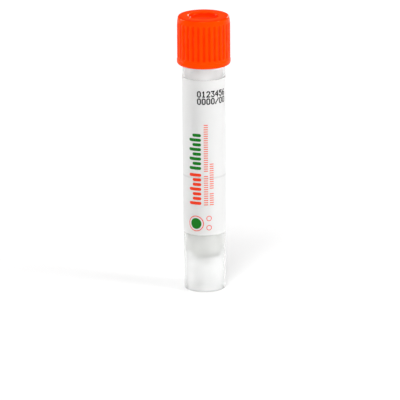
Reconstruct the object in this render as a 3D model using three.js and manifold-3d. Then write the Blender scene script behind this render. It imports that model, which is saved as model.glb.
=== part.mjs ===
// Specimen swab tube: a self-standing screw-cap transport tube of 12 x 80 mm with 2 ml of liquid medium.
//
// Four pieces, as the real one has:
//   tube      one moulding: a drafted body, a conical floor set inside a skirt, and a threaded neck
//   cap       one moulding: a fluted shell with a sunk top, an inner thread, a plug seal for the mouth,
//             and a ribbed socket that catches the broken-off end of a swab stick
//   label     a film label wrapped round the body, with an open strip at the back
//   medium    the liquid, with its meniscus
//
// Millimetres, +Z up. The origin is the centre of the ring that the tube stands on. +Y is the back, where
// the label leaves its strip.
import * as THREE from "three";
import { mergeVertices } from "three/addons/utils/BufferGeometryUtils.js";
import Module from "manifold-3d";

// Tube body
const TUBE_HEIGHT = 80;
const BODY_TOP_RADIUS = 6.3; // under the neck
const BODY_BASE_RADIUS = 6.02; // at the foot, so that the body has draft
const BODY_WALL = 0.95;

// Conical floor and the skirt that carries it
const CONE_RIM_HEIGHT = 11.8; // where the bore turns into the cone
const CONE_SLOPE = THREE.MathUtils.degToRad(40); // below the horizontal
const CONE_TIP_RADIUS = 1.5;
const FLOOR_WALL = 1.0;
const SKIRT_WALL = 1.2;
const SKIRT_DRAFT = 0.06; // how much narrower the hollow is at its top
const FOOT_ROUND = 0.3;

// Neck, its thread and the mouth
const NECK_LENGTH = 11.5;
const NECK_WALL = 0.7;
const MOUTH_CHAMFER = 0.3;
const THREAD_PITCH = 3;
const THREAD_TURNS = 1.75;
const THREAD_DEPTH = 0.35;
const THREAD_ROOT_WIDTH = 1.25;
const THREAD_CREST_WIDTH = 0.55;
const THREAD_START = 1.6; // from the mouth down to the middle of the thread's upper end
const THREAD_FADE = THREE.MathUtils.degToRad(30); // the run-out at each end

// Cap
const CREST_CLEARANCE = 0.12; // between the two threads' crests
const SEAT_CLEARANCE = 0.1; // between the mouth and the cap's ceiling
const CAP_WALL = 0.7; // behind the flutes
const CAP_SKIRT_LENGTH = 12.4; // from the ceiling down
const CAP_TOP_THICKNESS = 1.2;
const CAP_TOP_ROUND = 0.4;
const SHOULDER_HEIGHT = 3; // over which the cap draws in towards its top
const SHOULDER_DRAW = 0.3; // how far it draws in
const SUNK_DEPTH = 0.9; // of the sunk top, below the rim round it
const SUNK_FILLET = 0.5;
const RIM_WIDTH = 1.25;
const RIM_ROUND = 0.3;
const FLUTE_COUNT = 30;
const FLUTE_DEPTH = 0.2;
const FLUTE_WIDTH = 1;
const FLUTE_TOP_GAP = 1.3; // from the cap's top down to the flutes' round ends
const RING_HEIGHT = 1.9; // the plain ring under the flutes
const RING_PROUD = 0.1;
const RING_TOP_ROUND = 0.4;
const RING_FOOT_ROUND = 0.8;

// Plug seal inside the mouth
const PLUG_CLEARANCE = 0.1;
const PLUG_WALL = 0.75;
const PLUG_LENGTH = 3.2;
const PLUG_CHAMFER = 0.25;

// Socket that catches a swab stick
const STICK_RADIUS = 1.25;
const SOCKET_LIP = 0.4; // the wall left at the socket's wide mouth
const SOCKET_LENGTH = 8.4;
const SOCKET_LEAD_IN = 0.9; // how much wider the socket is at its mouth
const SOCKET_LEAD_LENGTH = 2.4;
const SOCKET_RIB_COUNT = 4;
const SOCKET_RIB_HEIGHT = 0.3; // how far a rib stands in from the wall
const SOCKET_RIB_WIDTH = 0.4;

// Label
const LABEL_BELOW_CAP = 3.7;
const LABEL_HEIGHT = 46.7;
const LABEL_STRIP = 6.4; // the strip left open, along the curve
const LABEL_THICKNESS = 0.1;
const LABEL_CLEARANCE = 0.05;
const LABEL_CORNER = 1.5;

// Medium
const FILL_VOLUME = 2000;
const MENISCUS = 0.5;
const MEDIUM_CLEARANCE = 0.05;

// Facets
const ROUND_FACETS = 2 * FLUTE_COUNT;
const ARC_STEPS = 3;
const THREAD_STEPS_PER_TURN = 48;
const BITE = 0.2; // how far a piece that is joined on reaches into what carries it

const wasm = await Module();
wasm.setup();

// ---- Helpers ----

// The closed solid of a three.js geometry, turned outwards if need be.
function solid(geometry) {
  const bare = geometry.index ? geometry.toNonIndexed() : geometry.clone();
  bare.deleteAttribute("normal");
  bare.deleteAttribute("uv");
  const merged = mergeVertices(bare, 1e-5);
  const corners = merged.index.array;
  const triVerts = [];
  for (let i = 0; i < corners.length; i += 3) {
    const [a, b, c] = [corners[i], corners[i + 1], corners[i + 2]];
    if (a !== b && b !== c && c !== a) triVerts.push(a, b, c);
  }
  const build = (triangles) =>
    new wasm.Manifold(
      new wasm.Mesh({
        numProp: 3,
        vertProperties: new Float32Array(merged.attributes.position.array),
        triVerts: new Uint32Array(triangles),
      }),
    );
  const made = build(triVerts);
  return made.volume() < 0 ? build(triVerts.reverse()) : made;
}

// A solid of revolution about Z. Its [radius, height] points start and end on the axis, or close.
function revolve(points) {
  const outline = points.map(([radius, height]) => new THREE.Vector2(radius, height));
  const turned = new THREE.LatheGeometry(outline, ROUND_FACETS);
  return solid(turned.rotateX(Math.PI / 2));
}

// Points along an arc of a profile, from one angle to another, in degrees above the outward direction.
function arc(radius, height, round, from, to) {
  const points = [];
  for (let i = 0; i <= ARC_STEPS; i++) {
    const angle = THREE.MathUtils.degToRad(from + ((to - from) * i) / ARC_STEPS);
    points.push([radius + round * Math.cos(angle), height + round * Math.sin(angle)]);
  }
  return points;
}

// A right-handed helical ridge round Z. It stands from `root` to `crest`, which may lie inside or outside
// it, and fades at both ends. `middle` is the height of its upper end, and its turns run down from there.
function threadRidge(root, crest, middle, turns) {
  const steps = Math.round(turns * THREAD_STEPS_PER_TURN);
  const outwards = Math.sign(crest - root);
  const positions = [];
  const index = [];
  for (let i = 0; i <= steps; i++) {
    const angle = (-i / THREAD_STEPS_PER_TURN) * 2 * Math.PI;
    const fromEnd = (Math.min(i, steps - i) / THREAD_STEPS_PER_TURN) * 2 * Math.PI;
    const grown = Math.min(1, fromEnd / THREAD_FADE);
    const height = middle - (i / THREAD_STEPS_PER_TURN) * THREAD_PITCH;
    const section = [
      [root - outwards * BITE, -THREAD_ROOT_WIDTH / 2],
      [root - outwards * BITE, THREAD_ROOT_WIDTH / 2],
      [root + (crest - root) * grown, THREAD_CREST_WIDTH / 2],
      [root + (crest - root) * grown, -THREAD_CREST_WIDTH / 2],
    ];
    for (const [radius, rise] of section)
      positions.push(radius * Math.cos(angle), radius * Math.sin(angle), height + rise);
  }
  const sides = 4;
  for (let i = 0; i < steps; i++)
    for (let k = 0; k < sides; k++) {
      const [a, b] = [i * sides + k, i * sides + ((k + 1) % sides)];
      index.push(a, b, b + sides, a, b + sides, a + sides);
    }
  const last = steps * sides;
  index.push(0, 2, 1, 0, 3, 2, last, last + 1, last + 2, last, last + 2, last + 3);
  const geometry = new THREE.BufferGeometry();
  geometry.setAttribute("position", new THREE.Float32BufferAttribute(positions, 3));
  geometry.setIndex(index);
  return solid(geometry);
}

// A named three.js mesh of a solid.
function piece(name, made, material) {
  const { numProp, numVert, vertProperties, triVerts } = made.getMesh();
  const positions = new Float32Array(numVert * 3);
  for (let i = 0; i < numVert; i++)
    positions.set(vertProperties.subarray(i * numProp, i * numProp + 3), i * 3);
  const geometry = new THREE.BufferGeometry();
  geometry.setAttribute("position", new THREE.BufferAttribute(positions, 3));
  geometry.setIndex(new THREE.BufferAttribute(new Uint32Array(triVerts), 1));
  geometry.computeVertexNormals();
  const mesh = new THREE.Mesh(geometry, material);
  mesh.name = name;
  return mesh;
}

// ---- Sizes that follow from the ones above ----

const shoulderHeight = TUBE_HEIGHT - NECK_LENGTH;
const bodyRadius = (height) =>
  THREE.MathUtils.lerp(BODY_BASE_RADIUS, BODY_TOP_RADIUS, Math.min(1, height / shoulderHeight));
const boreRadius = (height) => bodyRadius(height) - BODY_WALL;
const mouthRadius = boreRadius(TUBE_HEIGHT);
const neckRadius = mouthRadius + NECK_WALL;
const outerCrest = neckRadius + THREAD_DEPTH;
const innerCrest = outerCrest + CREST_CLEARANCE;
const capBore = innerCrest + THREAD_DEPTH;
const fluteFloor = capBore + CAP_WALL;
const capRadius = fluteFloor + FLUTE_DEPTH;
const threadTop = TUBE_HEIGHT - THREAD_START;

// ---- Tube ----

// The inner cone's profile from its rim to the axis. Moved down and out by `offset`, it is the outer one.
function conePoints(rimRadius, offset) {
  const sharpTip = CONE_RIM_HEIGHT - boreRadius(CONE_RIM_HEIGHT) * Math.tan(CONE_SLOPE);
  const tip = sharpTip - offset / Math.cos(CONE_SLOPE);
  const round = CONE_TIP_RADIUS + offset;
  const slope = THREE.MathUtils.radToDeg(CONE_SLOPE);
  return [
    [rimRadius, tip + rimRadius * Math.tan(CONE_SLOPE)],
    ...arc(0, tip + round / Math.cos(CONE_SLOPE), round, slope - 90, -90),
  ];
}

function makeTube() {
  const skirtRadius = BODY_BASE_RADIUS - SKIRT_WALL;
  const outside = [
    [skirtRadius, 0],
    ...arc(BODY_BASE_RADIUS - FOOT_ROUND, FOOT_ROUND, FOOT_ROUND, -90, 0),
    [bodyRadius(shoulderHeight), shoulderHeight],
    [neckRadius, shoulderHeight],
    [neckRadius, TUBE_HEIGHT - MOUTH_CHAMFER],
    [neckRadius - MOUTH_CHAMFER, TUBE_HEIGHT],
  ];
  const inside = [
    [mouthRadius + MOUTH_CHAMFER, TUBE_HEIGHT],
    [mouthRadius, TUBE_HEIGHT - MOUTH_CHAMFER],
    [mouthRadius, shoulderHeight],
    ...conePoints(boreRadius(CONE_RIM_HEIGHT), 0),
  ];
  const underside = conePoints(skirtRadius - SKIRT_DRAFT, FLOOR_WALL);
  const shell = revolve([...underside.reverse(), ...outside, ...inside]);
  return shell.add(threadRidge(neckRadius, outerCrest, threadTop, THREAD_TURNS));
}

// ---- Medium ----

// The height to which FILL_VOLUME fills the bore, found by halving.
function fillHeight() {
  const cone = revolve([...conePoints(boreRadius(CONE_RIM_HEIGHT), 0).reverse(), [0, CONE_RIM_HEIGHT]]);
  const aboveCone = FILL_VOLUME - cone.volume();
  let [low, high] = [CONE_RIM_HEIGHT, shoulderHeight];
  while (high - low > 1e-4) {
    const middle = (low + high) / 2;
    const [a, b] = [boreRadius(CONE_RIM_HEIGHT), boreRadius(middle)];
    const frustum = (Math.PI / 3) * (middle - CONE_RIM_HEIGHT) * (a * a + a * b + b * b);
    if (frustum < aboveCone) low = middle;
    else high = middle;
  }
  return low;
}

function makeMedium() {
  const level = fillHeight();
  const edge = boreRadius(level) - MEDIUM_CLEARANCE;
  const rimRadius = boreRadius(CONE_RIM_HEIGHT) - MEDIUM_CLEARANCE;
  const bottom = conePoints(rimRadius, 0).map(([radius, height]) => [radius, height + MEDIUM_CLEARANCE]);
  const surface = arc(edge - MENISCUS, level + MENISCUS, MENISCUS, -90, 0);
  return revolve([...bottom.reverse(), ...surface.reverse(), [0, level]]);
}

// ---- Label ----

// The strip that the label leaves open, as a flat outline whose flared ends round the label's corners.
function openStrip(halfWidth, bottom, top) {
  const flare = halfWidth + LABEL_CORNER;
  const beyond = 1;
  const strip = new THREE.Shape();
  strip.moveTo(-flare, bottom - beyond);
  strip.lineTo(flare, bottom - beyond);
  strip.lineTo(flare, bottom);
  strip.absarc(flare, bottom + LABEL_CORNER, LABEL_CORNER, -Math.PI / 2, -Math.PI, true);
  strip.absarc(flare, top - LABEL_CORNER, LABEL_CORNER, Math.PI, Math.PI / 2, true);
  strip.lineTo(flare, top + beyond);
  strip.lineTo(-flare, top + beyond);
  strip.absarc(-flare, top - LABEL_CORNER, LABEL_CORNER, Math.PI / 2, 0, true);
  strip.absarc(-flare, bottom + LABEL_CORNER, LABEL_CORNER, 0, -Math.PI / 2, true);
  return strip;
}

function makeLabel() {
  const top = TUBE_HEIGHT + SEAT_CLEARANCE - CAP_SKIRT_LENGTH - LABEL_BELOW_CAP;
  const bottom = top - LABEL_HEIGHT;
  const [innerTop, innerBottom] = [top, bottom].map((z) => bodyRadius(z) + LABEL_CLEARANCE);
  const wrap = revolve([
    [innerBottom, bottom],
    [innerBottom + LABEL_THICKNESS, bottom],
    [innerTop + LABEL_THICKNESS, top],
    [innerTop, top],
    [innerBottom, bottom],
  ]);
  const radius = innerTop + LABEL_THICKNESS;
  const halfStrip = radius * Math.sin(LABEL_STRIP / radius / 2);
  const outline = openStrip(halfStrip, bottom, top);
  const depth = 2 * radius;
  const options = { depth, bevelEnabled: false, curveSegments: ARC_STEPS };
  const cutter = new THREE.ExtrudeGeometry(outline, options);
  return wrap.subtract(solid(cutter.rotateX(Math.PI / 2).translate(0, depth, 0)));
}

// ---- Cap, with its ceiling at height 0 ----

const capTop = CAP_TOP_THICKNESS + SUNK_DEPTH;
const ringTop = RING_HEIGHT - CAP_SKIRT_LENGTH;
const ringRadius = capRadius + RING_PROUD;
const socketRadius = STICK_RADIUS + SOCKET_RIB_HEIGHT / 2; // so that the ribs bite on the stick

function capShell() {
  const rimOuter = capRadius - SHOULDER_DRAW;
  const sunkRadius = rimOuter - RIM_WIDTH;
  const plugRadius = mouthRadius - PLUG_CLEARANCE;
  const socketOuter = socketRadius + SOCKET_LEAD_IN + SOCKET_LIP;
  const shoulderRound = (SHOULDER_HEIGHT ** 2 + SHOULDER_DRAW ** 2) / (2 * SHOULDER_DRAW);
  const shoulderAngle = THREE.MathUtils.radToDeg(Math.asin(SHOULDER_HEIGHT / shoulderRound));
  const ringAngle = THREE.MathUtils.radToDeg(Math.acos(1 - RING_PROUD / RING_TOP_ROUND));
  return revolve([
    [0, CAP_TOP_THICKNESS],
    ...arc(sunkRadius - SUNK_FILLET, CAP_TOP_THICKNESS + SUNK_FILLET, SUNK_FILLET, -90, 0),
    ...arc(sunkRadius + RIM_ROUND, capTop - RIM_ROUND, RIM_ROUND, 180, 90),
    ...arc(rimOuter - CAP_TOP_ROUND, capTop - CAP_TOP_ROUND, CAP_TOP_ROUND, 90, shoulderAngle),
    ...arc(capRadius - shoulderRound, capTop - SHOULDER_HEIGHT, shoulderRound, shoulderAngle, 0).slice(1),
    ...arc(ringRadius - RING_TOP_ROUND, ringTop - RING_TOP_ROUND, RING_TOP_ROUND, ringAngle, 0),
    ...arc(ringRadius - RING_FOOT_ROUND, RING_FOOT_ROUND - CAP_SKIRT_LENGTH, RING_FOOT_ROUND, 0, -90),
    [capBore, -CAP_SKIRT_LENGTH],
    [capBore, 0],
    [plugRadius, 0],
    [plugRadius, PLUG_CHAMFER - PLUG_LENGTH],
    [plugRadius - PLUG_CHAMFER, -PLUG_LENGTH],
    [plugRadius - PLUG_WALL, -PLUG_LENGTH],
    [plugRadius - PLUG_WALL, 0],
    [socketOuter, 0],
    [socketOuter, -SOCKET_LENGTH],
    [socketRadius + SOCKET_LEAD_IN, -SOCKET_LENGTH],
    [socketRadius, SOCKET_LEAD_LENGTH - SOCKET_LENGTH],
    [socketRadius, 0],
    [0, 0],
  ]);
}

// One flute's cutter: an upright round-ended rod, which the drawn-in shoulder runs out of at the top.
function fluteCutter(angle) {
  const radius = (FLUTE_WIDTH ** 2 / 4 + FLUTE_DEPTH ** 2) / (2 * FLUTE_DEPTH);
  const lower = ringTop + radius;
  const upper = capTop - FLUTE_TOP_GAP - radius;
  const rod = new THREE.CapsuleGeometry(radius, upper - lower, ARC_STEPS, 4 * ARC_STEPS);
  rod.rotateX(Math.PI / 2).translate(fluteFloor + radius, 0, (lower + upper) / 2);
  return solid(rod.rotateZ(angle));
}

// A rib along the inside of the socket.
function socketRib(angle) {
  const length = SOCKET_LENGTH - SOCKET_LEAD_LENGTH;
  const depth = SOCKET_RIB_HEIGHT + BITE;
  const rib = new THREE.BoxGeometry(depth, SOCKET_RIB_WIDTH, length + BITE);
  rib.translate(socketRadius + BITE - depth / 2, 0, (BITE - length) / 2);
  return solid(rib.rotateZ(angle));
}

function makeCap() {
  const turns = Array.from({ length: FLUTE_COUNT }, (_, i) => ((i + 0.5) / FLUTE_COUNT) * 2 * Math.PI);
  const ribTurns = Array.from({ length: SOCKET_RIB_COUNT }, (_, i) => (i / SOCKET_RIB_COUNT) * 2 * Math.PI);
  const fluted = turns.reduce((made, angle) => made.subtract(fluteCutter(angle)), capShell());
  const ribbed = ribTurns.reduce((made, angle) => made.add(socketRib(angle)), fluted);
  const halfPitchDown = threadTop - TUBE_HEIGHT - SEAT_CLEARANCE - THREAD_PITCH / 2;
  return ribbed.add(threadRidge(capBore, innerCrest, halfPitchDown, THREAD_TURNS));
}

// ---- Assembly ----

const clearPlastic = new THREE.MeshStandardMaterial({
  color: 0xe4e5e0,
  roughness: 0.35,
  metalness: 0,
  transparent: true,
  opacity: 0.55,
});
const orangePlastic = new THREE.MeshStandardMaterial({ color: 0xfc4c05, roughness: 0.35, metalness: 0 });
const labelFilm = new THREE.MeshStandardMaterial({ color: 0xf7f7f5, roughness: 0.5, metalness: 0 });
const liquid = new THREE.MeshStandardMaterial({
  color: 0xe9e9df,
  roughness: 0.05,
  metalness: 0,
  transparent: true,
  opacity: 0.5,
});

const capGroup = new THREE.Group();
capGroup.position.z = TUBE_HEIGHT + SEAT_CLEARANCE;
capGroup.add(piece("cap", makeCap(), orangePlastic));

const swabTube = new THREE.Group();
swabTube.add(
  piece("tube", makeTube(), clearPlastic),
  piece("medium", makeMedium(), liquid),
  piece("label", makeLabel(), labelFilm),
  capGroup,
);

export default swabTube;
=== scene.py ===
"""The looks of the specimen swab tube: a translucent moulded tube with an orange fluted screw cap, a printed
film label and a slightly cloudy liquid medium, standing on a pale floor.

Lengths are in millimetres and angles in degrees until a mesh, lamp or camera is made, and the frame gives
where each piece is. The front, with the label's print, faces -Y.
"""

import math

import bmesh
import bpy
import numpy as np
from mathutils import Euler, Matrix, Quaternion, Vector


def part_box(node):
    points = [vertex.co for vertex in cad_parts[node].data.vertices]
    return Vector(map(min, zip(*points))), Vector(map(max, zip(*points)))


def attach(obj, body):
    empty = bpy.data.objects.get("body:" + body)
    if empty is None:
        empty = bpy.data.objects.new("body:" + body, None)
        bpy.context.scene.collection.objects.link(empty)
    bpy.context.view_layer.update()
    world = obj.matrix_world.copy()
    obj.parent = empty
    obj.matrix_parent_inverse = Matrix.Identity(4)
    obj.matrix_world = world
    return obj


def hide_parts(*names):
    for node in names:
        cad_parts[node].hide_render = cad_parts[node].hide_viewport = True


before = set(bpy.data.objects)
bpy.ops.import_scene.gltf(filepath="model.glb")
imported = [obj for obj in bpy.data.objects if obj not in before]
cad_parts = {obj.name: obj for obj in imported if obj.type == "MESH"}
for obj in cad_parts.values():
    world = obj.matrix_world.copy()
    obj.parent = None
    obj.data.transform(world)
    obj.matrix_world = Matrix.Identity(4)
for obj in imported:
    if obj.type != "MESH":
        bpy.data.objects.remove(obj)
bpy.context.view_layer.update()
MM = 0.001


def box_mm(node):
    """A CAD node's lowest and highest corner, in millimetres."""
    low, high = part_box(node)
    return low / MM, high / MM


TUBE_HIGH = box_mm("tube")[1]
CAP_LOW, CAP_HIGH = box_mm("cap")
LABEL_LOW, LABEL_HIGH = box_mm("label")
MEDIUM_HIGH = box_mm("medium")[1]

# ---- Meshes ----

SHARP_EDGE = 40  # an edge that turns by more isn't shaded smooth
SAME_POINT = 1e-5  # points that are closer together are one


def finished(name, skin, material, body, node=None):
    """Makes a piece from a bmesh: smooth but for its sharp edges, with its material, riding on its body."""
    mesh = bpy.data.meshes.new(name)
    skin.to_mesh(mesh)
    skin.free()
    mesh.shade_smooth()
    mesh.set_sharp_from_angle(angle=math.radians(SHARP_EDGE))
    piece = bpy.data.objects.new(name, mesh)
    bpy.context.scene.collection.objects.link(piece)
    mesh.materials.append(material)
    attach(piece, body)
    if node:
        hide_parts(node)


def arc(radius, height, bend, start, end, steps=8):
    """Rows of a profile's arc of radius `bend` round (radius, height), with angles above the outward way."""
    angles = np.radians(np.linspace(start, end, steps + 1))
    return [(radius + bend * math.cos(a), height + bend * math.sin(a), None) for a in angles]


def wall(low, high, step, carve=None):
    """Rows of a straight wall from one (radius, height) to another, about `step` apart."""
    count = max(1, round(math.dist(low, high) / step))
    return [(*(np.array(low) + (np.array(high) - low) * i / count), carve) for i in range(count + 1)]


def revolved(rows, segments):
    """A closed skin round the Z axis, which starts and ends on the axis. A row is (radius, height, carve),
    where carve(angles, height) gives what to add to the radius at each angle, or carve is None."""
    angles = np.arange(segments) * 2 * math.pi / segments
    skin = bmesh.new()
    rings = []
    for radius, height, carve in rows:
        if radius < SAME_POINT:
            rings.append([skin.verts.new((0, 0, height * MM))])
            continue
        radii = (radius + (carve(angles, height) if carve else 0 * angles)) * MM
        rings.append([
            skin.verts.new((r * math.cos(a), r * math.sin(a), height * MM)) for r, a in zip(radii, angles)
        ])
    for low, high in zip(rings, rings[1:]):
        for i in range(segments):
            j = (i + 1) % segments
            corners = [low[i % len(low)], low[j % len(low)], high[j % len(high)], high[i % len(high)]]
            skin.faces.new(list(dict.fromkeys(corners)))
    bmesh.ops.recalc_face_normals(skin, faces=skin.faces)
    return skin


def smooth(share):
    """Runs from 0 to 1 with a soft start and end."""
    share = np.clip(share, 0, 1)
    return share * share * (3 - 2 * share)


def from_nearest(angles, count):
    """How far each angle is from the nearest of `count` lines that stand evenly round the axis."""
    pitch = 2 * math.pi / count
    return (angles + pitch / 2) % pitch - pitch / 2


# ---- Tube and liquid ----

BODY_BASE_RADIUS = 6.02
BODY_TOP_RADIUS = 6.3
BODY_WALL = 0.95
SHOULDER_ROUND = 0.15
NECK_LENGTH = 11.5
NECK_WALL = 0.7
MOUTH_ROUND = 0.28
SHOULDER = TUBE_HIGH.z - NECK_LENGTH

CONE_RIM = 11.8  # the height where the bore turns into the cone
CONE_SLOPE = 40  # below the horizontal
CONE_TIP_ROUND = 1.5
FLOOR_WALL = 1.0
SKIRT_WALL = 1.2
SKIRT_DRAFT = 0.06  # how much narrower the skirt's hollow is at its top
FOOT_ROUND = 0.3
FOOT_INNER_ROUND = 0.15
FOOT_BAND = 1.0  # upright, above the foot's round

THREAD_START = 1.6  # from the mouth down to the middle of the thread's upper end
THREAD_PITCH = 3
THREAD_TURNS = 1.75
THREAD_DEPTH = 0.35
THREAD_ROOT = 1.25
THREAD_CREST = 0.5
THREAD_FADE = 30  # the run-out at each end

MENISCUS = 0.5
LIQUID_REACH = 0.02  # how far the liquid reaches into the wall that it wets

TUBE_SEGMENTS = 240
TUBE_STEP = 3
TUBE_THREAD_STEP = 0.12
LIQUID_SEGMENTS = 180


def body_radius(height):
    return BODY_BASE_RADIUS + (BODY_TOP_RADIUS - BODY_BASE_RADIUS) * min(1, height / SHOULDER)


def bore_radius(height):
    return body_radius(height) - BODY_WALL


MOUTH_RADIUS = bore_radius(TUBE_HIGH.z)
NECK_RADIUS = MOUTH_RADIUS + NECK_WALL


def neck_thread(angles, height):
    """Carves the neck's right-handed thread, which fades at both ends."""
    top = TUBE_HIGH.z - THREAD_START
    full = 2 * math.pi * THREAD_TURNS
    out = np.zeros_like(angles)
    for turn in range(math.ceil(THREAD_TURNS)):
        along = (-angles) % (2 * math.pi) + 2 * math.pi * turn
        off = np.abs(height - (top - THREAD_PITCH * along / (2 * math.pi)))
        flank = smooth((THREAD_ROOT / 2 - off) / ((THREAD_ROOT - THREAD_CREST) / 2))
        fade = smooth(np.minimum(along, full - along) / math.radians(THREAD_FADE))
        out = np.maximum(out, THREAD_DEPTH * flank * fade)
    return out


def cone_rows(rim, offset):
    """The inner cone from its rim to the axis. Moved down and out by `offset`, it is the outer one."""
    slope = math.radians(CONE_SLOPE)
    tip = CONE_RIM - bore_radius(CONE_RIM) * math.tan(slope) - offset / math.cos(slope)
    bend = CONE_TIP_ROUND + offset
    return [
        (rim, tip + rim * math.tan(slope), None),
        *arc(0, tip + bend / math.cos(slope), bend, CONE_SLOPE - 90, -90),
    ]


def tube_skin():
    """The whole moulding: up from the middle of its underside, over the mouth and down the bore."""
    hollow = BODY_BASE_RADIUS - SKIRT_WALL
    below_mouth = TUBE_HIGH.z - MOUTH_ROUND
    below_shoulder = SHOULDER - SHOULDER_ROUND
    underside = [
        *reversed(cone_rows(hollow - SKIRT_DRAFT, FLOOR_WALL)),
        *arc(hollow + FOOT_INNER_ROUND, FOOT_INNER_ROUND, FOOT_INNER_ROUND, 180, 270, steps=4),
    ]
    outside = [
        *arc(BODY_BASE_RADIUS - FOOT_ROUND, FOOT_ROUND, FOOT_ROUND, -90, 0),
        *wall((BODY_BASE_RADIUS, FOOT_ROUND + FOOT_BAND), (BODY_TOP_RADIUS, below_shoulder), TUBE_STEP),
        *arc(BODY_TOP_RADIUS - SHOULDER_ROUND, below_shoulder, SHOULDER_ROUND, 0, 90, steps=4),
        *wall((NECK_RADIUS, SHOULDER), (NECK_RADIUS, below_mouth), TUBE_THREAD_STEP, neck_thread),
        *arc(NECK_RADIUS - MOUTH_ROUND, below_mouth, MOUTH_ROUND, 0, 90)[1:],
    ]
    inside = [
        *arc(MOUTH_RADIUS + MOUTH_ROUND, below_mouth, MOUTH_ROUND, 90, 180),
        *wall((MOUTH_RADIUS, SHOULDER), (bore_radius(CONE_RIM), CONE_RIM), TUBE_STEP)[:-1],
        *cone_rows(bore_radius(CONE_RIM), 0),
    ]
    return revolved([*underside, *outside, *inside], TUBE_SEGMENTS)


def liquid_skin():
    """The liquid. It reaches a hair into the wall, so that no film of air shows between them."""
    level = MEDIUM_HIGH.z - MENISCUS
    edge = bore_radius(level) + LIQUID_REACH
    bottom = cone_rows(bore_radius(CONE_RIM) + LIQUID_REACH, LIQUID_REACH)
    surface = arc(edge - MENISCUS, level + MENISCUS, MENISCUS, 0, -90)
    return revolved([*reversed(bottom), *surface, (0, level, None)], LIQUID_SEGMENTS)


# ---- Cap ----

CAP_TOP_THICKNESS = 1.2
CAP_WALL = 0.7  # behind the flutes
LIP_ROUND = 0.4
RIM_WIDTH = 2.6
DISH_DEPTH = 0.9
DISH_ROUND = 0.55
DISH_LEAN = 12  # of the dish's wall, out from the upright
DRAW_IN = 0.3  # of the shell, towards the top
DRAW_IN_HEIGHT = 3.0
DRAW_IN_CURVE = (DRAW_IN_HEIGHT**2 + DRAW_IN**2) / (2 * DRAW_IN)
RING_HEIGHT = 1.9  # of the plain ring under the flutes
RING_PROUD = 0.1
RING_TOP_ROUND = 0.4
RING_FOOT_ROUND = 0.8
FLUTES = 30
FLUTE_DEPTH = 0.2
FLUTE_WIDTH = 1.0
FLUTE_TOP_GAP = 1.3  # from the cap's top down to the flutes' round ends
FLUTE_SOFTNESS = 0.03  # of the flutes' edges
FLUTE_SHADE = 0.75  # how much painted shade reddens the flutes' floor, where the dish's floor gets 1
RING_TOP = CAP_LOW.z + RING_HEIGHT
RING_RADIUS = CAP_HIGH.x
CAP_RADIUS = RING_RADIUS - RING_PROUD
CAP_BORE = CAP_RADIUS - (FLUTE_DEPTH + CAP_WALL)
CEILING = CAP_HIGH.z - (DISH_DEPTH + CAP_TOP_THICKNESS)

# The plug seal and the socket that catches a swab stick
CEILING_ROUND = 0.2
EDGE_ROUND = 0.1
PLUG_CLEARANCE = 0.1
PLUG_WALL = 0.75
PLUG_LENGTH = 3.2
PLUG_ROUND = 0.25
SOCKET_RADIUS = 1.4
SOCKET_LENGTH = 8.4
SOCKET_LEAD_IN = 0.9  # how much wider the socket is at its mouth
SOCKET_LEAD_LENGTH = 2.4
SOCKET_LIP = 0.4
RIBS = 4
RIB_HEIGHT = 0.3
RIB_HALF_WIDTH = 0.25
RIB_FLANK = 0.1
RIB_RUN_OUT = 0.5

# The rows are close over the shell's upper and lower end, where the flutes run out
CAP_SEGMENTS = 14 * FLUTES
SHELL_UPPER_END = 3.2
SHELL_LOWER_END = 1
CAP_FINE_STEP = 0.1
CAP_COARSE_STEP = 0.5
CAP_PLAIN_STEP = 1


def shell_radius(height):
    """The cap's outside between its flutes, which draws in towards the top along an arc."""
    up = max(0, height - (CAP_HIGH.z - DRAW_IN_HEIGHT))
    return CAP_RADIUS - DRAW_IN_CURVE + math.sqrt(DRAW_IN_CURVE**2 - up**2)


def flutes(angles, height):
    """Carves the flutes into the shell. Their floor is upright, so they fade where the shell draws in, and
    both their ends are round. Angle 0, the cap's right-hand side, is midway between two of them."""
    curve = (FLUTE_WIDTH**2 / 4 + FLUTE_DEPTH**2) / (2 * FLUTE_DEPTH)
    low = RING_TOP + curve
    high = CAP_HIGH.z - FLUTE_TOP_GAP - curve
    past = max(low - height, height - high, 0)
    if past >= curve:
        return 0 * angles
    across = from_nearest(angles + math.pi / FLUTES, FLUTES) * CAP_RADIUS
    inside = curve**2 - past**2 - across**2
    floor = CAP_RADIUS - FLUTE_DEPTH + curve - np.sqrt(np.maximum(inside, 0))
    cut = np.where(inside > 0, shell_radius(height) - floor, 0)
    return -(cut + np.sqrt(cut**2 + FLUTE_SOFTNESS**2)) / 2 + FLUTE_SOFTNESS / 2


def ribs(angles, height):
    """Carves the socket's ribs, which stand in from its wall and grip the stick."""
    across = from_nearest(angles, RIBS) * SOCKET_RADIUS
    return -RIB_HEIGHT * smooth((RIB_HALF_WIDTH - np.abs(across)) / RIB_FLANK)


def cap_top_rows():
    """From the middle of the dish, the sunk top, over the rim to the shell."""
    rim = CAP_RADIUS - DRAW_IN
    dish = rim - RIM_WIDTH
    floor = CAP_HIGH.z - DISH_DEPTH
    lean = math.radians(DISH_LEAN)
    straight = DISH_DEPTH - 2 * DISH_ROUND * (1 - math.sin(lean))
    dish_floor = dish - 2 * DISH_ROUND * math.cos(lean) - straight * math.tan(lean)
    shell_start = math.degrees(math.asin(DRAW_IN_HEIGHT / DRAW_IN_CURVE))
    return [
        *wall((0, floor), (dish_floor, floor), CAP_PLAIN_STEP)[:-1],
        *arc(dish_floor, floor + DISH_ROUND, DISH_ROUND, -90, -DISH_LEAN),
        *arc(dish, CAP_HIGH.z - DISH_ROUND, DISH_ROUND, 180 - DISH_LEAN, 90),
        *arc(rim - LIP_ROUND, CAP_HIGH.z - LIP_ROUND, LIP_ROUND, 90, shell_start)[:-1],
    ]


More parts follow.
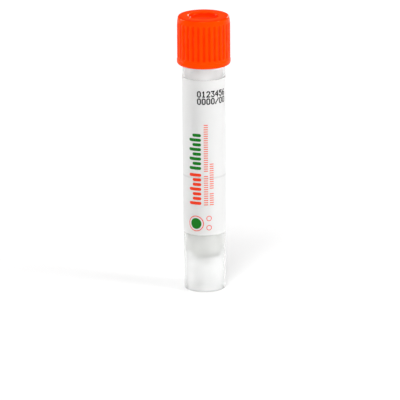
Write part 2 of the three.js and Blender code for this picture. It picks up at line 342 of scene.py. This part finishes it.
def cap_side_rows():
    """Down the fluted shell and the ring, to the foot."""
    upper, lower = CAP_HIGH.z - SHELL_UPPER_END, RING_TOP + SHELL_LOWER_END
    heights = [
        *np.arange(CAP_HIGH.z - LIP_ROUND, upper, -CAP_FINE_STEP),
        *np.arange(upper, lower, -CAP_COARSE_STEP),
        *np.arange(lower, RING_TOP + CAP_FINE_STEP / 2, -CAP_FINE_STEP),
    ]
    ring_start = math.degrees(math.acos(1 - RING_PROUD / RING_TOP_ROUND))
    return [
        *[(shell_radius(z), z, flutes) for z in heights],
        *arc(RING_RADIUS - RING_TOP_ROUND, RING_TOP - RING_TOP_ROUND, RING_TOP_ROUND, ring_start, 0),
        *arc(RING_RADIUS - RING_FOOT_ROUND, CAP_LOW.z + RING_FOOT_ROUND, RING_FOOT_ROUND, 0, -90)[:-1],
    ]


def cap_inside_rows():
    """From the foot up the bore, round the plug seal and the stick socket, to the axis. The bore is plain
    here: the inner thread that the CAD cap has is missing."""
    plug = MOUTH_RADIUS - PLUG_CLEARANCE
    plug_foot = CEILING - PLUG_LENGTH
    # Where the straight stretches between the rounds start and end
    bore_low, bore_high = CAP_LOW.z + 0.4, CEILING - 0.3
    plug_low, plug_high = plug_foot + 0.3, CEILING - 0.1
    socket_foot = CEILING - SOCKET_LENGTH
    socket_mouth = SOCKET_RADIUS + SOCKET_LEAD_IN
    socket_outer = socket_mouth + SOCKET_LIP
    lead_top = socket_foot + SOCKET_LEAD_LENGTH
    return [
        *arc(CAP_BORE + EDGE_ROUND, CAP_LOW.z + EDGE_ROUND, EDGE_ROUND, 270, 180, steps=4),
        *wall((CAP_BORE, bore_low), (CAP_BORE, bore_high), CAP_PLAIN_STEP),
        *arc(CAP_BORE - CEILING_ROUND, CEILING - CEILING_ROUND, CEILING_ROUND, 0, 90, steps=4),
        (plug, CEILING, None),
        *wall((plug, plug_high), (plug, plug_low), CAP_PLAIN_STEP),
        *arc(plug - PLUG_ROUND, plug_foot + PLUG_ROUND, PLUG_ROUND, 0, -90, steps=5),
        *arc(plug - PLUG_WALL + EDGE_ROUND, plug_foot + EDGE_ROUND, EDGE_ROUND, 270, 180, steps=4),
        (plug - PLUG_WALL, CEILING, None),
        (socket_outer, CEILING, None),
        *arc(socket_outer - EDGE_ROUND, socket_foot + EDGE_ROUND, EDGE_ROUND, 0, -90, steps=3),
        (socket_mouth, socket_foot, None),
        (SOCKET_RADIUS, lead_top, None),
        *wall((SOCKET_RADIUS, lead_top + RIB_RUN_OUT), (SOCKET_RADIUS, CEILING), CAP_PLAIN_STEP, ribs),
        (0, CEILING, None),
    ]


def cap_skin():
    """The cap, with an attribute of painted shade, which says how far inside the shell, or down in the dish,
    a point of its outside lies; the cap's colour is painted darker red there."""
    skin = revolved([*cap_top_rows(), *cap_side_rows(), *cap_inside_rows()], CAP_SEGMENTS)
    # This attribute holds painted shade for the flutes' floor and the sunk top's floor
    recess_shade = skin.verts.layers.float.new("recess_shade")
    for v in skin.verts:
        radius, height = math.hypot(v.co.x, v.co.y) / MM, v.co.z / MM
        if height > RING_TOP and radius > CAP_BORE + EDGE_ROUND:
            v[recess_shade] = FLUTE_SHADE * min(1, max(0, (shell_radius(height) - radius) / FLUTE_DEPTH))
        elif radius < MOUTH_RADIUS:
            v[recess_shade] = min(1, (CAP_HIGH.z - height) / DISH_DEPTH)
    return skin


# ---- Label and its print ----

LABEL_CLEARANCE = 0.05
LABEL_THICKNESS = 0.1
LABEL_STRIP = 6.4  # left open at the back
LABEL_CORNER = 1.5
LABEL_COLUMNS = 200
LABEL_ROWS = 24
INK_THICKNESS = 0.012
INK_STRIP = 0.4  # the print's shapes are cut into strips this wide, to bend them

# Places in the print are to the right of the label's front centre line and above its lower edge
FIGURES_LEFT = -1.9
FIGURE_PITCH = 1.38
DOT_COLUMN = 0.207
DOT_ROW = 0.2606
DOT_RADIUS = 0.2137
BARS_RIGHT = -0.95
BAR_LONG = 3.8
BAR_SHORT = 2.7
BAR_PITCH = 1.42
BAR_THICKNESS = 0.95
TICK_LENGTH = 1.3
TICK_PITCH = 0.66
TICK_THICKNESS = 0.3
DISC_PLACE = (-2.6, 3.5)
DISC_RADIUS = 1.65
DISC_RING_RADIUS = 2.35
DISC_RING_WIDTH = 0.24
SMALL_RING_PLACES = ((1.3, 5.1), (1.3, 2.3))
SMALL_RING_RADIUS = 0.8
SMALL_RING_WIDTH = 0.2
ROUND_SIDES = 48


def label_radius(height):
    return body_radius(height) + LABEL_CLEARANCE + LABEL_THICKNESS


def on_label(across, height, lift):
    """The point, in metres, that is `across` to the right of the front centre line, `lift` off the label."""
    radius = label_radius(height)
    angle = across / radius
    out = (radius + lift) * MM
    return out * math.sin(angle), -out * math.cos(angle), height * MM


def label_skin():
    """A sheet with round corners, wrapped to leave an open strip at the back."""
    low, high = LABEL_LOW.z, LABEL_HIGH.z
    half_width = math.pi * label_radius(high) - LABEL_STRIP / 2
    corner = [LABEL_CORNER * (1 - math.cos(math.radians(a))) for a in range(0, 91, 10)]
    heights = [
        *(low + c for c in corner),
        *np.linspace(low + LABEL_CORNER, high - LABEL_CORNER, LABEL_ROWS)[1:-1],
        *(high - c for c in reversed(corner)),
    ]
    shares = [2 * j / LABEL_COLUMNS - 1 for j in range(LABEL_COLUMNS + 1)]
    skin = bmesh.new()

    def layer(lift):
        grid = []
        for height in heights:
            past = max(low + LABEL_CORNER - height, height - high + LABEL_CORNER, 0)
            inset = LABEL_CORNER - math.sqrt(max(LABEL_CORNER**2 - past**2, 0))
            reach = half_width - inset
            grid.append([skin.verts.new(on_label(reach * share, height, lift)) for share in shares])
        return grid

    outer, inner = layer(0), layer(-LABEL_THICKNESS)
    last_row, last_column = len(heights) - 1, LABEL_COLUMNS
    for i in range(last_row):
        for j in range(last_column):
            for grid in (outer, inner):
                skin.faces.new((grid[i][j], grid[i][j + 1], grid[i + 1][j + 1], grid[i + 1][j]))
    edge = [
        *[(0, j) for j in range(last_column)],
        *[(i, last_column) for i in range(last_row)],
        *[(last_row, j) for j in range(last_column, 0, -1)],
        *[(i, 0) for i in range(last_row, 0, -1)],
    ]
    for (i, j), (k, m) in zip(edge, edge[1:] + edge[:1]):
        skin.faces.new((outer[i][j], outer[k][m], inner[k][m], inner[i][j]))
    bmesh.ops.recalc_face_normals(skin, faces=skin.faces)
    return skin


def disc(across, height, radius, sides=8):
    turns = np.arange(sides) * 2 * math.pi / sides
    return [[(across + radius * math.cos(t), height + radius * math.sin(t)) for t in turns]]


def ring(across, height, radius, width):
    """A ring, as four-sided pieces side by side."""
    turns = np.arange(ROUND_SIDES + 1) * 2 * math.pi / ROUND_SIDES
    shapes = []
    for a, b in zip(turns, turns[1:]):
        corners = ((radius, a), (radius, b), (radius - width, b), (radius - width, a))
        shapes.append([(across + r * math.cos(t), height + r * math.sin(t)) for r, t in corners])
    return shapes


def bar(left, bottom, right, top):
    """A bar with fully round ends."""
    radius = min(right - left, top - bottom) / 2
    points = []
    for t in np.radians(np.arange(0, 361, 15)):
        centre_x = right - radius if math.cos(t) > 0 else left + radius
        centre_z = top - radius if math.sin(t) > 0 else bottom + radius
        points.append((centre_x + radius * math.cos(t), centre_z + radius * math.sin(t)))
    return [list(dict.fromkeys(points))]


def ladder(right, low, lengths, pitch, thickness):
    """Bars one above another, with their right ends in line."""
    heights = low + pitch * np.arange(len(lengths))
    return [s for z, length in zip(heights, lengths) for s in bar(right - length, z, right, z + thickness)]


def bars(low, lengths):
    return ladder(BARS_RIGHT, low, lengths, BAR_PITCH, BAR_THICKNESS)


def ticks(right, low, count):
    return ladder(right, low, [TICK_LENGTH] * count, TICK_PITCH, TICK_THICKNESS)


DOTS = {
    "0": "01110 10001 10001 10001 10001 10001 01110",
    "1": "00100 01100 00100 00100 00100 00100 01110",
    "2": "01110 10001 00001 00010 00100 01000 11111",
    "3": "11111 00010 00100 00010 00001 10001 01110",
    "4": "00010 00110 01010 10010 11111 00010 00010",
    "5": "11111 10000 11110 00001 00001 10001 01110",
    "6": "00110 01000 10000 11110 10001 10001 01110",
    "/": "00001 00001 00010 00100 01000 10000 10000",
}


def dot_line(text, middle):
    """A line of dot-matrix figures, each of seven rows of five. The fourth row is at height `middle`."""
    shapes = []
    for place, figure in enumerate(text):
        for row, dots in enumerate(DOTS[figure].split()):
            for column, dot in enumerate(dots):
                if dot == "1":
                    across = FIGURES_LEFT + place * FIGURE_PITCH + column * DOT_COLUMN
                    shapes += disc(across, middle + (3 - row) * DOT_ROW, DOT_RADIUS)
    return shapes


def printed(name, shapes, material):
    """Ink on the label: flat shapes cut into narrow strips, bent round it and given a thickness."""
    flat = bmesh.new()
    for shape in shapes:
        flat.faces.new([flat.verts.new((x, z + LABEL_LOW.z, 0)) for x, z in shape])
    bmesh.ops.remove_doubles(flat, verts=flat.verts, dist=SAME_POINT)
    reach = [v.co.x for v in flat.verts]
    for x in np.arange(math.floor(min(reach)), max(reach), INK_STRIP):
        everything = [*flat.verts, *flat.edges, *flat.faces]
        bmesh.ops.bisect_plane(flat, geom=everything, plane_co=(x, 0, 0), plane_no=(1, 0, 0))
    for v in flat.verts:
        v.co = on_label(v.co.x, v.co.y, INK_THICKNESS)
    bmesh.ops.recalc_face_normals(flat, faces=flat.faces)
    for face in flat.faces:
        centre = face.calc_center_median()
        if face.normal.x * centre.x + face.normal.y * centre.y < 0:
            face.normal_flip()
    bmesh.ops.solidify(flat, geom=list(flat.faces), thickness=INK_THICKNESS * MM)
    finished(name, flat, material, "tube_body")


# ---- Materials ----

class Shader:
    """A node material with a Principled shader, and short ways to feed it."""

    def __init__(self, name):
        self.material = bpy.data.materials.new(name)
        self.material.use_nodes = True
        self.tree = self.material.node_tree
        self.principled = self.tree.nodes["Principled BSDF"]
        self.place = self.node("ShaderNodeTexCoord").outputs["Object"]

    def node(self, kind, **values):
        made = self.tree.nodes.new(kind)
        for key, value in values.items():
            setattr(made, key, value)
        return made

    def set(self, **values):
        """Values that are the same all over, such as Alpha=0.6 or Sheen_Weight=1."""
        for key, value in values.items():
            self.principled.inputs[key.replace("_", " ")].default_value = value

    def link(self, source, target):
        self.tree.links.new(source, target)

    def noise(self, size, detail=2, stretch=(1, 1, 1)):
        """A noise whose features are about `size` millimetres across."""
        mapping = self.node("ShaderNodeMapping")
        mapping.inputs["Scale"].default_value = stretch
        made = self.node("ShaderNodeTexNoise")
        made.inputs["Scale"].default_value = 1 / (size * MM)
        made.inputs["Detail"].default_value = detail
        self.link(self.place, mapping.inputs["Vector"])
        self.link(mapping.outputs["Vector"], made.inputs["Vector"])
        return made.outputs["Fac"]

    def between(self, factor, low, high, start=0.3, end=0.7):
        """A number that runs from low to high as the factor runs from start to end."""
        made = self.node("ShaderNodeMapRange")
        made.inputs["From Min"].default_value = start
        made.inputs["From Max"].default_value = end
        made.inputs["To Min"].default_value = low
        made.inputs["To Max"].default_value = high
        self.link(factor, made.inputs["Value"])
        return made.outputs["Result"]

    def add(self, first, second):
        made = self.node("ShaderNodeMath", operation="ADD")
        self.link(first, made.inputs[0])
        self.link(second, made.inputs[1])
        return made.outputs["Value"]

    def colours(self, factor, first, second, start=0.3, end=0.7):
        """The base colour, which runs from first to second as the factor runs from start to end."""
        made = self.node("ShaderNodeValToRGB")
        made.color_ramp.elements[0].color = (*first, 1)
        made.color_ramp.elements[0].position = start
        made.color_ramp.elements[1].color = (*second, 1)
        made.color_ramp.elements[1].position = end
        self.link(factor, made.inputs["Fac"])
        self.link(made.outputs["Color"], self.principled.inputs["Base Color"])

    def roughness(self, factor, low, high):
        self.link(self.between(factor, low, high), self.principled.inputs["Roughness"])

    def bump(self, factor, depth, strength):
        """Relief `depth` millimetres deep."""
        made = self.node("ShaderNodeBump")
        made.inputs["Strength"].default_value = strength
        made.inputs["Distance"].default_value = depth * MM
        self.link(factor, made.inputs["Height"])
        self.link(made.outputs["Normal"], self.principled.inputs["Normal"])


def cap_plastic():
    """Orange plastic, with painted shade: darker red in the flutes and in the sunk top."""
    made = Shader("cap_plastic")
    recess_shade = made.node("ShaderNodeAttribute", attribute_name="recess_shade").outputs["Fac"]
    flow = made.between(made.noise(2.5, 3), -0.12, 0.12)
    # The darker red is painted shade, which the cap's attribute lays into the flutes and the sunk top
    made.colours(made.add(recess_shade, flow), (1.0, 0.053, 0.0002), (1.0, 0.013, 0.0001), 0, 1)
    made.roughness(made.noise(0.6, 4), 0.11, 0.17)
    made.bump(made.noise(0.2), 0.002, 0.4)
    made.set(IOR=1.5, Specular_IOR_Level=0.06, Specular_Tint=(1.0, 1.0, 0.15, 1))
    made.set(Sheen_Weight=1.0, Sheen_Roughness=0.5, Sheen_Tint=(1.0, 0.06, 0.0, 1))
    return made.material


def tube_plastic():
    """Natural translucent plastic, with faint streaks along the tube."""
    made = Shader("tube_plastic")
    made.colours(made.noise(6, stretch=(1, 1, 0.3)), (0.965, 0.97, 0.965), (0.985, 0.99, 0.985))
    made.roughness(made.noise(0.8, 4), 0.16, 0.22)
    made.bump(made.noise(0.5, stretch=(1, 1, 0.2)), 0.004, 0.4)
    made.set(IOR=1.45, Transmission_Weight=0.52, Alpha=0.6)
    return made.material


def label_film():
    """White film, with a faint line of painted shade at the height of the liquid's edge behind it."""
    line_drop, line_blur = 0.2, 0.45
    made = Shader("label_film")
    separate = made.node("ShaderNodeSeparateXYZ")
    made.link(made.place, separate.inputs["Vector"])
    height = separate.outputs["Z"]
    # Painted shade: the label's colour is darker in a soft band at the liquid's edge behind it
    line = MEDIUM_HIGH.z - line_drop
    above = made.between(height, 0, 1, line * MM, (line + line_blur) * MM)
    below = made.between(height, 1, 0, (line - line_blur) * MM, line * MM)
    cloud = made.between(made.noise(5), -0.1, 0.1)
    clear_of_line = made.add(above, below)
    made.colours(made.add(clear_of_line, cloud), (0.60, 0.60, 0.595), (0.70, 0.70, 0.695), 0, 1)
    made.roughness(made.noise(0.3, 3), 0.40, 0.50)
    made.bump(made.noise(0.15, 3), 0.003, 0.5)
    made.set(IOR=1.5, Specular_IOR_Level=0.3)
    made.set(Subsurface_Weight=0.6, Subsurface_Scale=0.0003, Subsurface_Radius=(1, 1, 1))
    return made.material


def liquid():
    made = Shader("liquid")
    made.colours(made.noise(4), (0.83, 0.84, 0.795), (0.85, 0.86, 0.815))
    made.set(Roughness=0.08, IOR=1.335, Transmission_Weight=0.4, Alpha=0.7)
    return made.material


def ink(name, first, second):
    made = Shader(name)
    made.colours(made.noise(0.4, 3), first, second)
    made.roughness(made.noise(0.2), 0.42, 0.55)
    made.bump(made.noise(0.1), 0.002, 0.4)
    made.set(IOR=1.5, Specular_IOR_Level=0.2)
    return made.material


# ---- Stage ----

WORLD_STRENGTH = 0.12
FLOOR_HALF_M = 60
CAMERA_DISTANCE_M = 4.0
CAMERA_CLIP_M = 20
CAMERA_ELEVATION = 15.04
CAMERA_ROLL = -0.34
CAMERA_AIM = (-1.34, 0, 26.37)
PICTURE_WIDTH = 117.2  # what the picture takes in, at the tube
SENSOR_WIDTH = 36


def make_world():
    world = bpy.data.worlds.new("studio")
    bpy.context.scene.world = world
    world.use_nodes = True
    surroundings = world.node_tree.nodes["Background"]
    surroundings.inputs["Color"].default_value = (1, 1, 1, 1)
    surroundings.inputs["Strength"].default_value = WORLD_STRENGTH


def make_floor():
    floor = bmesh.new()
    bmesh.ops.create_grid(floor, x_segments=1, y_segments=1, size=FLOOR_HALF_M)
    mesh = bpy.data.meshes.new("floor")
    floor.to_mesh(mesh)
    floor.free()
    piece = bpy.data.objects.new("floor", mesh)
    bpy.context.scene.collection.objects.link(piece)
    made = Shader("floor")
    made.set(Base_Color=(0.84, 0.84, 0.84, 1), Roughness=1.0, Specular_IOR_Level=0.0)
    mesh.materials.append(made.material)


def softbox(name, azimuth, elevation, spread, brightness):
    """A distant soft lamp `spread` degrees across. Azimuth 0 is the front and 90 the right. A white surface
    that faces it shows `brightness` of full white."""
    light = bpy.data.lights.new(name, "SUN")
    light.angle = math.radians(spread)
    light.energy = math.pi * brightness
    holder = bpy.data.objects.new(name, light)
    bpy.context.scene.collection.objects.link(holder)
    a, e = math.radians(azimuth), math.radians(elevation)
    away = Vector((math.sin(a) * math.cos(e), -math.cos(a) * math.cos(e), math.sin(e)))
    holder.location = away
    holder.rotation_mode = "QUATERNION"
    holder.rotation_quaternion = (-away).to_track_quat("-Z", "Y")


def make_camera():
    """Looks at the tube's front from a little above, with the photograph's framing."""
    elevation = math.radians(CAMERA_ELEVATION)
    camera = bpy.data.cameras.new("camera")
    camera.sensor_width = SENSOR_WIDTH
    camera.lens = SENSOR_WIDTH * CAMERA_DISTANCE_M / (PICTURE_WIDTH * MM)
    camera.clip_end = CAMERA_CLIP_M
    holder = bpy.data.objects.new("camera", camera)
    bpy.context.scene.collection.objects.link(holder)
    away = Vector((0, -math.cos(elevation), math.sin(elevation)))
    holder.location = Vector(CAMERA_AIM) * MM + away * CAMERA_DISTANCE_M
    upright = Euler((math.pi / 2 - elevation, 0, 0)).to_quaternion()
    holder.rotation_mode = "QUATERNION"
    holder.rotation_quaternion = upright @ Quaternion((0, 0, 1), math.radians(CAMERA_ROLL))
    bpy.context.scene.camera = holder


# ---- The scene ----

bpy.context.scene.view_settings.view_transform = "Standard"
make_world()
make_floor()
softbox("key", azimuth=67, elevation=17, spread=26, brightness=0.58)
softbox("right", azimuth=157, elevation=14, spread=26, brightness=0.40)
softbox("left", azimuth=-112, elevation=14, spread=26, brightness=0.42)
softbox("high", azimuth=-10, elevation=50, spread=24, brightness=0.48)
softbox("top", azimuth=0, elevation=90, spread=110, brightness=0.42)
make_camera()

finished("tube_moulding", tube_skin(), tube_plastic(), "tube_body", node="tube")
finished("liquid_medium", liquid_skin(), liquid(), "tube_body", node="medium")
finished("wrapped_label", label_skin(), label_film(), "tube_body", node="label")
finished("fluted_cap", cap_skin(), cap_plastic(), "cap_body", node="cap")

black = ink("black_ink", (0.012, 0.012, 0.013), (0.03, 0.03, 0.032))
green = ink("green_ink", (0.0, 0.15, 0.003), (0.001, 0.18, 0.006))
red = ink("red_ink", (0.76, 0.030, 0.004), (0.82, 0.045, 0.008))
salmon = ink("salmon_ink", (0.74, 0.12, 0.07), (0.80, 0.16, 0.10))

printed("figures", dot_line("0123456", middle=42.65) + dot_line("0000/00", middle=40.48), black)
printed("green_bars", bars(19.8, [BAR_LONG, BAR_SHORT] * 4), green)
printed("red_bars", bars(9.2, [BAR_LONG, BAR_SHORT, BAR_SHORT] * 2 + [BAR_LONG]), red)
printed("graduations", [
    *ticks(right=1.1, low=9.1, count=14),
    *ticks(right=1.1, low=19.3, count=22),
    *ticks(right=2.8, low=9.1, count=6),
    *ticks(right=2.8, low=14.1, count=12),
], salmon)
printed("green_disc", disc(*DISC_PLACE, DISC_RADIUS, ROUND_SIDES), green)
disc_ring = ring(*DISC_PLACE, DISC_RING_RADIUS, DISC_RING_WIDTH)
small_rings = [s for place in SMALL_RING_PLACES for s in ring(*place, SMALL_RING_RADIUS, SMALL_RING_WIDTH)]
printed("red_rings", disc_ring + small_rings, red)
